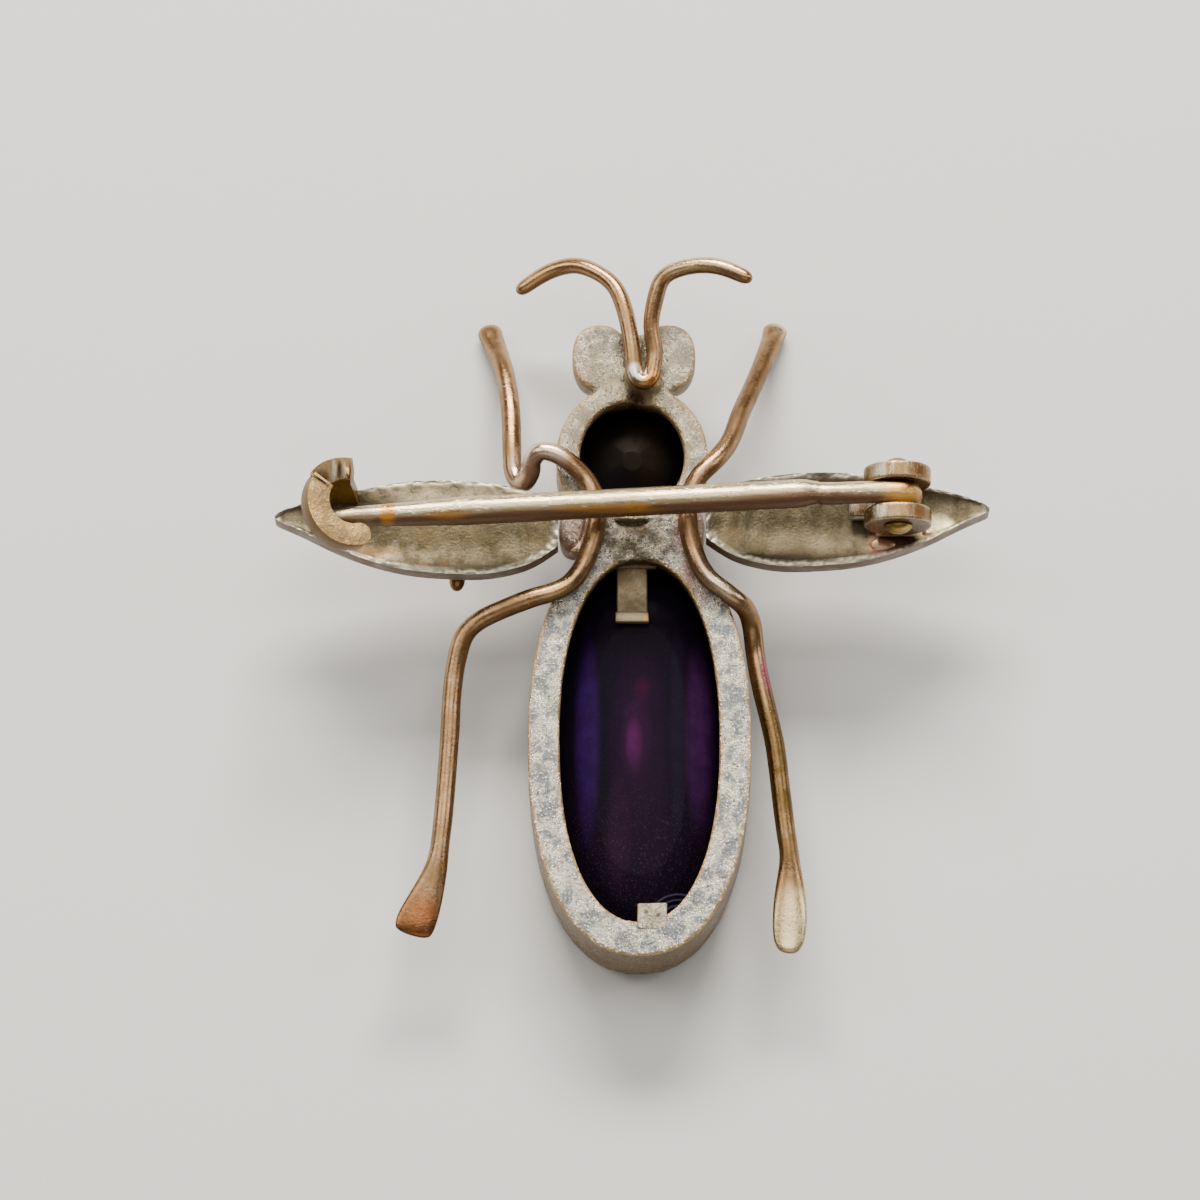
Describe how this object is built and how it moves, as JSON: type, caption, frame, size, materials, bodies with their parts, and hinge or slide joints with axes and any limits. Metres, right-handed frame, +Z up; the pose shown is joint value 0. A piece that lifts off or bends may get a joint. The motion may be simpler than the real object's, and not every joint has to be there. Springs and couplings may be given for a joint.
{
  "type": "insect brooch",
  "caption": "Antique insect brooch lying face down: open-backed silver settings, wings, wire legs, and a hinged pin with a hook catch on its back.",
  "frame": {"origin": "on the surface that the brooch lies on, under the middle of its outline", "axes": "+Z up, out of the brooch's back; +Y towards the antennae; +X towards the wing that carries the pin's hinge"},
  "size_m": [0.035, 0.0357, 0.0103],
  "materials": {
    "silver": "worn, granular",
    "rose_gold": "worn, polished on its ridges",
    "old_gold": "filed",
    "brown_gold": "tarnished",
    "pin_metal": "polished, tarnished below",
    "violet_stone": "polished",
    "dark_stone": "polished"
  },
  "bodies": {
    "brooch": {"body_frame": "silver", "abdomen_stone": "violet_stone", "thorax_stone": "dark_stone", "wing_left": "silver", "wing_right": "silver", "antennae": "rose_gold", "leg_wire_left": "rose_gold", "leg_wire_right": "rose_gold", "middle_leg": "rose_gold", "catch": "old_gold", "hinge": "brown_gold", "hinge_rivet": "brown_gold"},
    "pin": {"pin_stem": "pin_metal"}
  },
  "joints": [
    {"name": "pin_hinge", "type": "hinge", "parent": "brooch", "child": "pin", "pos_m": [0.01294, 0.00442, 0.0082], "axis": [0, 1, 0], "range_deg": [0, 100]}
  ]
}
